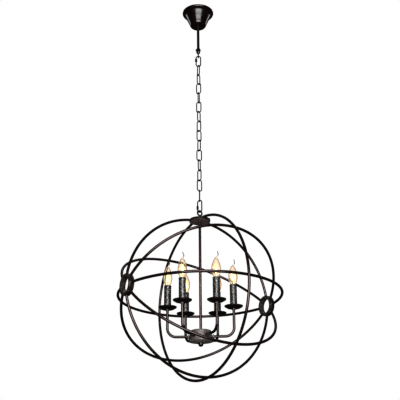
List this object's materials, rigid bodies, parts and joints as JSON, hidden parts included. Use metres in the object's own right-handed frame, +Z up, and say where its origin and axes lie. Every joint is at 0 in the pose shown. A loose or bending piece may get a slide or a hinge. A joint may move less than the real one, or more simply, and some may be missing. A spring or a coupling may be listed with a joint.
{
  "type": "orb chandelier",
  "caption": "Orb chandelier: upright candle lamps on bent arms inside a globe of round tube hoops, hung from a flared canopy by a stem, a link chain and quick links.",
  "frame": {"origin": "on the ceiling, at the middle of the canopy and between the crossbar's two slots", "axes": "+Z up out of the ceiling, +X to the right as seen by the viewer, +Y away from the viewer"},
  "size_m": [0.635, 0.626, 1.6115],
  "materials": {
    "zinc_steel": "satin zinc",
    "gloss_black": "gloss",
    "chain_black": "semi-gloss",
    "bronze_tube": "satin dark bronze",
    "bronze_hub": "semi-gloss dark bronze",
    "lead_insulation": "smooth",
    "connector_plastic": "matt",
    "rubbed_sleeve": "mottled, speckled",
    "holder_plastic": "matt",
    "cap_metal": "satin",
    "clear_glass": "clear",
    "filament_yellow": "coated light rods"
  },
  "bodies": {
    "ceiling_mount": {"ceiling_crossbar": "zinc_steel", "stem_tube": "gloss_black", "stem_lock_nuts": "zinc_steel", "stem_end_eye": "gloss_black", "stem_cross_bolt": "gloss_black"},
    "canopy": {"canopy_cup": "gloss_black", "canopy_lock_ring": "gloss_black", "lock_ring_screw": "zinc_steel"},
    "top_quick_link": {"top_quick_link": "chain_black"},
    "top_link_nut": {"top_quick_link_nut": "chain_black"},
    "link_02": {"chain_link_02": "chain_black"},
    "link_03": {"chain_link_03": "chain_black"},
    "link_04": {"chain_link_04": "chain_black"},
    "link_05": {"chain_link_05": "chain_black"},
    "link_06": {"chain_link_06": "chain_black"},
    "link_07": {"chain_link_07": "chain_black"},
    "link_08": {"chain_link_08": "chain_black"},
    "link_09": {"chain_link_09": "chain_black"},
    "link_10": {"chain_link_10": "chain_black"},
    "link_11": {"chain_link_11": "chain_black"},
    "link_12": {"chain_link_12": "chain_black"},
    "link_13": {"chain_link_13": "chain_black"},
    "link_14": {"chain_link_14": "chain_black"},
    "link_15": {"chain_link_15": "chain_black"},
    "bottom_quick_link": {"bottom_quick_link": "chain_black"},
    "bottom_link_nut": {"bottom_quick_link_nut": "chain_black"},
    "globe": {"arm_leads": "lead_insulation", "arm_lock_nuts": "bronze_tube", "bulb_caps": "cap_metal", "bulb_filaments": "filament_yellow", "bulb_glasses": "clear_glass", "candle_arms": "bronze_tube", "candle_sleeves": "rubbed_sleeve", "centre_rod": "bronze_tube", "centre_rod_nuts": "bronze_tube", "connector_block": "connector_plastic", "drip_pan_nuts": "bronze_tube", "drip_pans": "bronze_tube", "finial": "gloss_black", "hanging_eye_bolt": "chain_black", "hanging_eye_nut": "chain_black", "hoop_bottom": "bronze_tube", "hoop_end_screws": "zinc_steel", "hoop_lower_back": "bronze_tube", "hoop_lower_front": "bronze_tube", "hoop_middle_back": "bronze_tube", "hoop_middle_front": "bronze_tube", "hoop_top_left": "bronze_tube", "hoop_top_right": "bronze_tube", "hoop_upper_back": "bronze_tube", "hoop_upper_front": "bronze_tube", "hoop_upright_circle": "bronze_tube", "lamp_holders": "holder_plastic", "lower_hub_cover": "bronze_hub", "lower_hub_cup": "bronze_hub", "side_ring_left": "bronze_hub", "side_ring_right": "bronze_hub", "top_hub_disc": "bronze_hub", "top_hub_screws": "bronze_hub"}
  },
  "joints": [
    {"name": "top_quick_link_swing", "type": "hinge", "parent": "ceiling_mount", "child": "top_quick_link", "pos_m": [0, 0, -0.228], "axis": [0, 1, 0], "range_deg": [-45, 45]},
    {"name": "link_02_swing", "type": "hinge", "parent": "top_quick_link", "child": "link_02", "pos_m": [0, 0, -0.27358], "axis": [1, 0, 0], "range_deg": [-45, 45]},
    {"name": "link_03_swing", "type": "hinge", "parent": "link_02", "child": "link_03", "pos_m": [0, 0, -0.31826], "axis": [0.4384, -0.8988, 0], "range_deg": [-45, 45]},
    {"name": "link_04_swing", "type": "hinge", "parent": "link_03", "child": "link_04", "pos_m": [0, 0, -0.36314], "axis": [-0.5736, -0.8192, 0], "range_deg": [-45, 45]},
    {"name": "link_05_swing", "type": "hinge", "parent": "link_04", "child": "link_05", "pos_m": [0, 0, -0.40802], "axis": [-0.9135, 0.4067, 0], "range_deg": [-45, 45]},
    {"name": "link_06_swing", "type": "hinge", "parent": "link_05", "child": "link_06", "pos_m": [0, 0, -0.4529], "axis": [0.2924, 0.9563, 0], "range_deg": [-45, 45]},
    {"name": "link_07_swing", "type": "hinge", "parent": "link_06", "child": "link_07", "pos_m": [0, 0, -0.49778], "axis": [-0.9563, 0.2924, 0], "range_deg": [-45, 45]},
    {"name": "link_08_swing", "type": "hinge", "parent": "link_07", "child": "link_08", "pos_m": [0, 0, -0.54266], "axis": [-0.5736, -0.8192, 0], "range_deg": [-45, 45]},
    {"name": "link_09_swing", "type": "hinge", "parent": "link_08", "child": "link_09", "pos_m": [0, 0, -0.58754], "axis": [0.7771, -0.6293, 0], "range_deg": [-45, 45]},
    {"name": "link_10_swing", "type": "hinge", "parent": "link_09", "child": "link_10", "pos_m": [0, 0, -0.63242], "axis": [0.866, 0.5, 0], "range_deg": [-45, 45]},
    {"name": "link_11_swing", "type": "hinge", "parent": "link_10", "child": "link_11", "pos_m": [0, 0, -0.6773], "axis": [-0.5592, 0.829, 0], "range_deg": [-45, 45]},
    {"name": "link_12_swing", "type": "hinge", "parent": "link_11", "child": "link_12", "pos_m": [0, 0, -0.72218], "axis": [0.9903, 0.1392, 0], "range_deg": [-45, 45]},
    {"name": "link_13_swing", "type": "hinge", "parent": "link_12", "child": "link_13", "pos_m": [0, 0, -0.76706], "axis": [-0.4384, -0.8988, 0], "range_deg": [-45, 45]},
    {"name": "link_14_swing", "type": "hinge", "parent": "link_13", "child": "link_14", "pos_m": [0, 0, -0.81194], "axis": [-0.6947, 0.7193, 0], "range_deg": [-45, 45]},
    {"name": "link_15_swing", "type": "hinge", "parent": "link_14", "child": "link_15", "pos_m": [0, 0, -0.85682], "axis": [-0.9135, -0.4067, 0], "range_deg": [-45, 45]},
    {"name": "bottom_quick_link_swing", "type": "hinge", "parent": "link_15", "child": "bottom_quick_link", "pos_m": [0, 0, -0.9017], "axis": [-0.0349, -0.9994, 0], "range_deg": [-45, 45]},
    {"name": "globe_swing", "type": "hinge", "parent": "bottom_quick_link", "child": "globe", "pos_m": [0, 0, -0.94778], "axis": [0.848, -0.5299, 0], "range_deg": [-45, 45]},
    {"name": "canopy_slide", "type": "slide", "parent": "ceiling_mount", "child": "canopy", "axis": [0, 0, -1], "range_m": [0, 0.105]},
    {"name": "top_link_nut_slide", "type": "slide", "parent": "top_quick_link", "child": "top_link_nut", "axis": [0, 0, -1], "range_m": [0, 0.0135]},
    {"name": "bottom_link_nut_slide", "type": "slide", "parent": "bottom_quick_link", "child": "bottom_link_nut", "axis": [0, 0, 1], "range_m": [0, 0.0135]}
  ]
}
